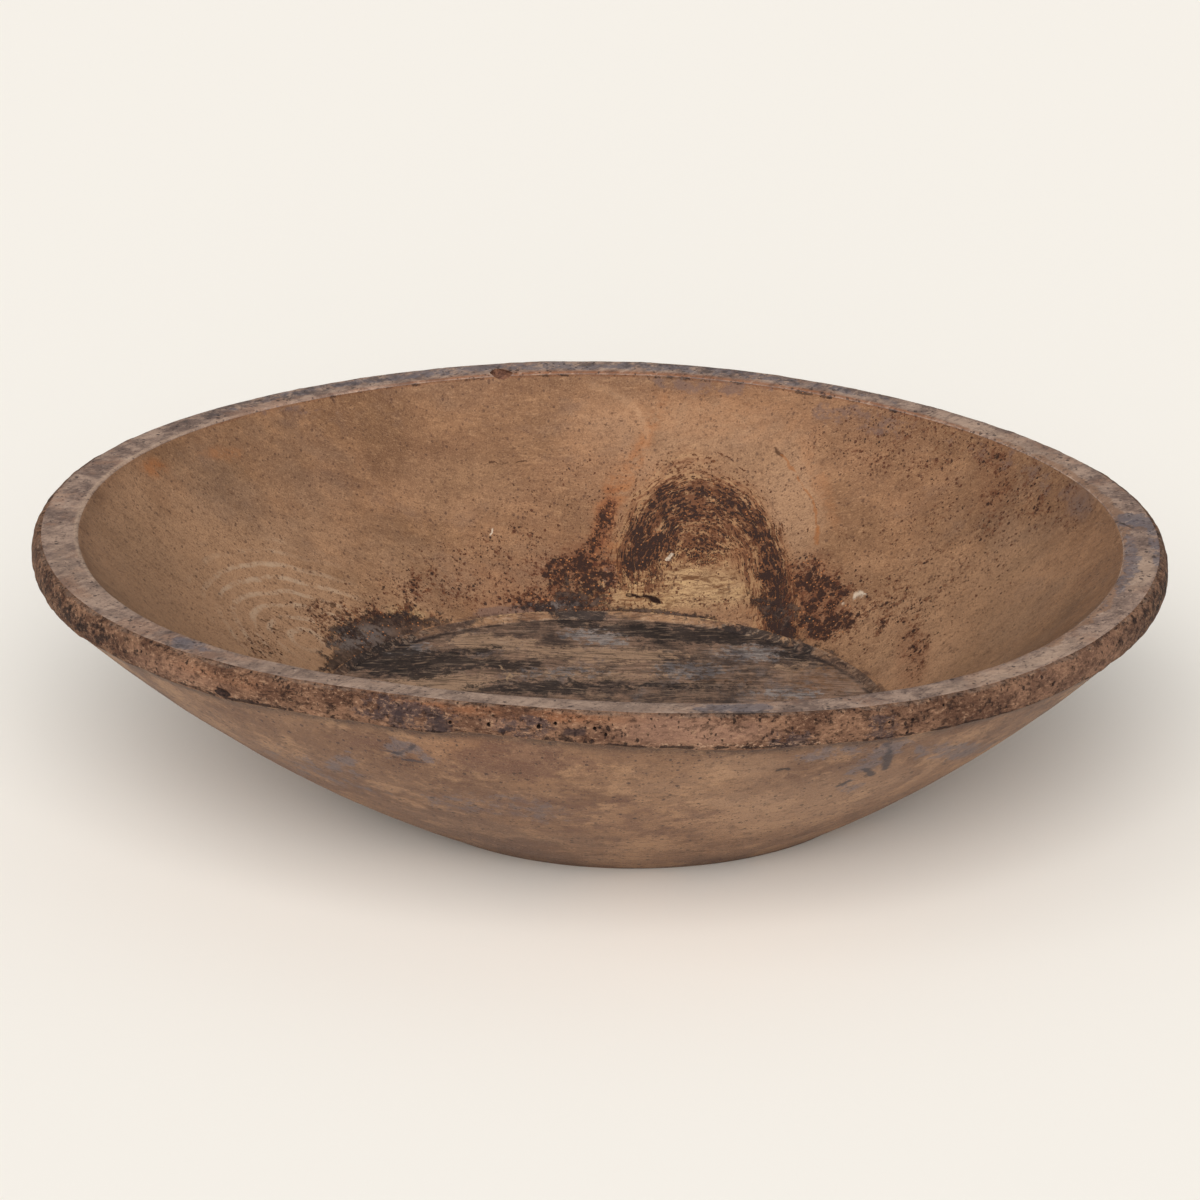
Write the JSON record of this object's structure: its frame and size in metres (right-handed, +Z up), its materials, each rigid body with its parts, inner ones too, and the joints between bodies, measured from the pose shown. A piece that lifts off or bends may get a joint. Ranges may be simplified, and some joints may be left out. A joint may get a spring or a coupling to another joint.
{
  "type": "dough bowl",
  "caption": "Large shallow dough bowl turned from one piece of wood, with a flat-topped rim, a rounded band and a sunk round floor.",
  "frame": {"origin": "centre of the bowl's box at its base, on the ground under the middle of the band", "axes": "+X to the right and +Y to the back as the picture shows the bowl, +Z up out of the mouth"},
  "size_m": [0.5578, 0.558, 0.1408],
  "materials": {
    "aged_wood": "dry, worn and stained turned wood with dark spots, a knot in the hollow and a grey weathered rim"
  },
  "bodies": {
    "root": {"bowl": "aged_wood"}
  },
  "joints": []
}
